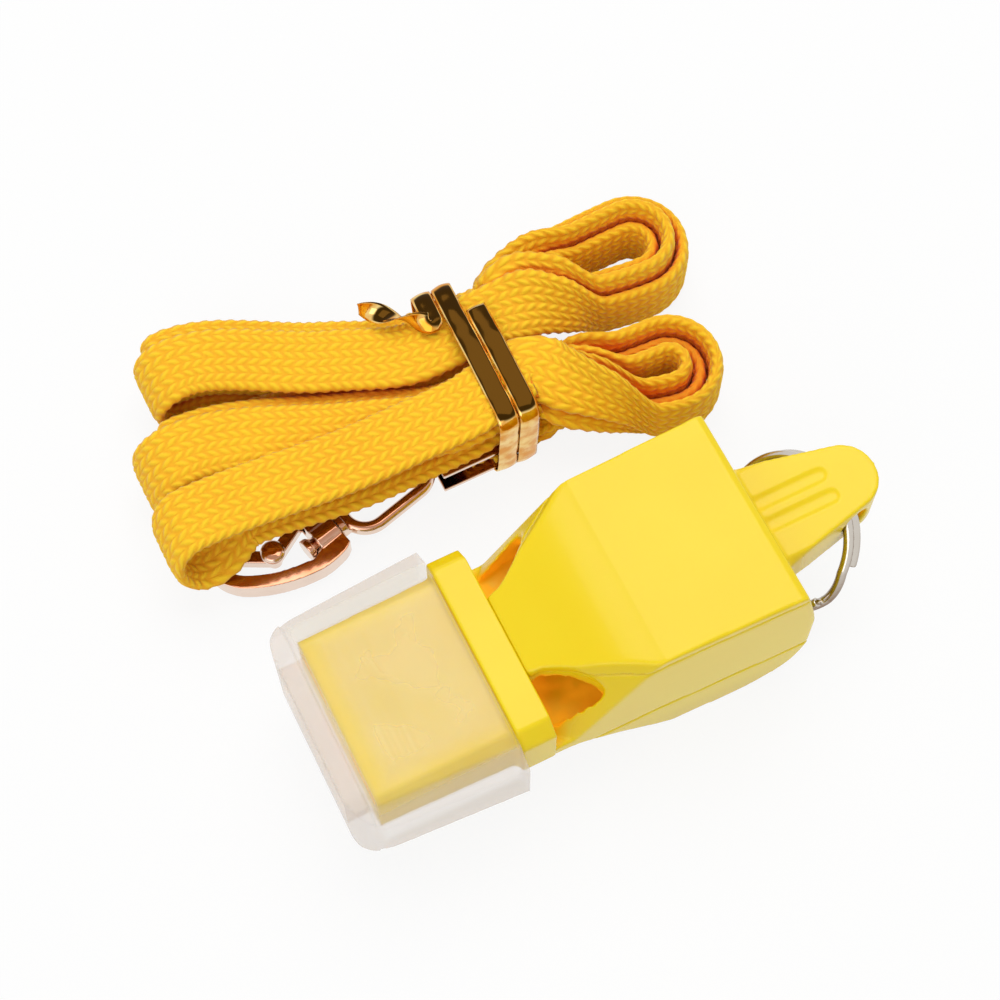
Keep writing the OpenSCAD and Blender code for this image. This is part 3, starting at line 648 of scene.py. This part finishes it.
sleeve = surface("frosted_sleeve", Base_Color=sleeve_colour, Roughness=0.38, Normal=frost, Alpha=sleeve_alpha,
                 Specular_IOR_Level=0.3, Subsurface_Weight=0.2,
                 Subsurface_Radius=(1.0, 0.8, 0.5), Subsurface_Scale=0.001)
rounded("mouth_guard", "soft_guard", 0.18, 6, "guard", sleeve)

# %% [markdown]
# ## Metal
# The split ring is nickel and the hook's parts are brighter, so they mirror the cord and the whistle. Both
# carry painted reflections in their colour as well.

# %% Nickel
def scratches(start):
    return bumps(start, grain(start, 1.2, 4.0, 0.6), 0.01, 0.35)


def lying(start, low, high):
    """1 where the surface faces up, 0 on its sides."""
    facing = start.node("ShaderNodeNewGeometry", out=1)
    parts = start.node("ShaderNodeSeparateXYZ", Vector=facing)
    return Sum(parts.tree, parts.socket.node.outputs[2]).steps(low, high)


def hook_colour_and_painted_reflection(start):
    # Painted reflection: dark red-brown where the hook faces up, pale pink on its sides.
    painted_reflection = lying(start, 0.55, 0.97) * 0.85 + grain(start, 3.0, 2.0) * 0.3 - 0.15
    return painted_reflection.blend(linear("EAD3C2"), linear("A8643C"))


def ring_colour_and_painted_reflection(start):
    """Painted reflections: bright on the crown of the wire, brown on its sides, as a mirror of the yellow body
    would be.
    """
    painted_reflection = lying(start, -0.1, 0.75) + grain(start, 2.0, 2.0) * 0.2 - 0.1
    return painted_reflection.blend(linear("7C5C3C"), linear("CBC4BA"))


nickel = surface("ring_nickel", Base_Color=ring_colour_and_painted_reflection, Metallic=1.0, Roughness=0.16, Normal=scratches)
mirror = surface("hook_nickel", Base_Color=hook_colour_and_painted_reflection, Metallic=1.0, Roughness=0.1, Normal=scratches)
rounded("split_ring", "key_ring", 0.12, 3, "ring", nickel)
rounded("cord_clamp", "clamp_band", 0.1, 3, "lanyard", mirror)
rounded("swivel_eye", "swivel", 0.12, 3, "lanyard", mirror)
rounded("hook_claw", "claw", 0.1, 6, "hook", mirror)
rounded("hook_lever", "trigger", 0.09, 4, "lever", mirror)
for node in ("lever_pin", "lever_spring"):
    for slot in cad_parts[node].material_slots:
        slot.material = nickel

# %% [markdown]
# ## The foil tie
# A strip of gold film over a thin wire goes twice round the hank, and its ends are twisted together.
# It is swept along the same loop as the solid, in finer steps, with a crown across its width and small creases.

# %% Points of the tie, in millimetres
TIE_X, TIE_PITCH, TIE_TURNS, TIE_W, TIE_T = -0.3, 2.25, 2, 2.1, 0.15
TIE_LOOP = [[34.3, 10.45], [36.3, 10.05], [38.3, 9.6], [38.85, 9], [38.85, 5], [38.85, 0.9],
            [38.1, 0.1], [32.5, 0.1], [27, 0.1], [21.5, 0.1], [20.95, 0.7], [20.95, 5.5],
            [20.95, 10.3], [21.7, 11.05], [26, 11.05], [30.4, 11.05]]
TAIL_FROM = np.array([-6.4, 39.4, 10.3])
TAIL_TWIST = 270


def tie_route():
    """Middles and width directions, from the tip of the twisted tail."""
    n = len(TIE_LOOP)
    loops = np.array([(TIE_X + TIE_PITCH * i / n, *TIE_LOOP[i % n]) for i in range(n * TIE_TURNS + 1)])
    way = loops[0] - TAIL_FROM
    flat = np.array([way[1], -way[0], 0]) / np.hypot(way[0], way[1])
    rise = np.cross(way / np.linalg.norm(way), flat)
    t = np.linspace(0, 1, 41)[:-1, None]
    a = np.radians(TAIL_TWIST * (1 - t))
    return (np.concatenate([TAIL_FROM + way * t, loops]),
            np.concatenate([flat * np.cos(a) + rise * np.sin(a), np.tile([1.0, 0, 0], (len(loops), 1))]))


def tie_strip(name):
    p, w = tie_route()
    s = np.r_[0, np.cumsum(np.linalg.norm(np.diff(p, axis=0), axis=1))]
    at = np.linspace(0, s[-1], int(s[-1] / 0.3))
    line, side = (np.stack([np.interp(at, s, v[:, j]) for j in range(3)], 1) for v in (p, w))
    for _ in range(6):
        for v in (line, side):
            v[1:-1] = (v[:-2] + 2 * v[1:-1] + v[2:]) / 4
    tangent = np.gradient(line, axis=0)
    out = np.cross(side, tangent)
    out, side = unit(out), unit(side)
    half = np.linspace(-1, 1, 9)
    verts = []
    for face in (1, -1):
        for v in half * face:
            crease = np.array([noise.noise(Vector((a * 0.7, v * 0.8, 3.1))) for a in at])
            lift = 0.16 * (1 - v * v) + 0.07 * crease + face * TIE_T / 3
            verts.append(line + side * (v * TIE_W / 2) + out * lift[:, None])
    verts = np.stack(verts, 1) * MM
    mesh = swept(name, verts)
    fix = bmesh.new()
    fix.from_mesh(mesh)
    bmesh.ops.recalc_face_normals(fix, faces=fix.faces)
    fix.to_mesh(mesh)
    fix.free()
    mesh.shade_smooth()
    made = bpy.data.objects.new(name, mesh)
    bpy.context.collection.objects.link(made)
    print(name, "has", len(mesh.polygons), "faces")
    return made

# %% Gold film and its painted reflections
def foil_colour_and_painted_reflection(start):
    up = lying(start, 0.72, 0.985)
    streak = grain(start, 1.8, 3.0)
    metal = streak.steps(0.35, 0.65).blend(linear("DB9430"), linear("F2D084"))
    # Painted reflection: where the film faces up it is drawn dark brown.
    return (up * 1.1 + streak * 0.35 - 0.28).steps(0.1, 0.7).blend(metal, linear("3C2608"))


foil = surface("gold_foil", Base_Color=foil_colour_and_painted_reflection, Metallic=1.0, Roughness=0.12, Normal=scratches)
band = tie_strip("tie_band")
band.data.materials.append(foil)
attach(band, "lanyard")
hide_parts("foil_tie")

start_point = tuple(middle[0] * MM)
[tuple(q) for q in middle * MM]
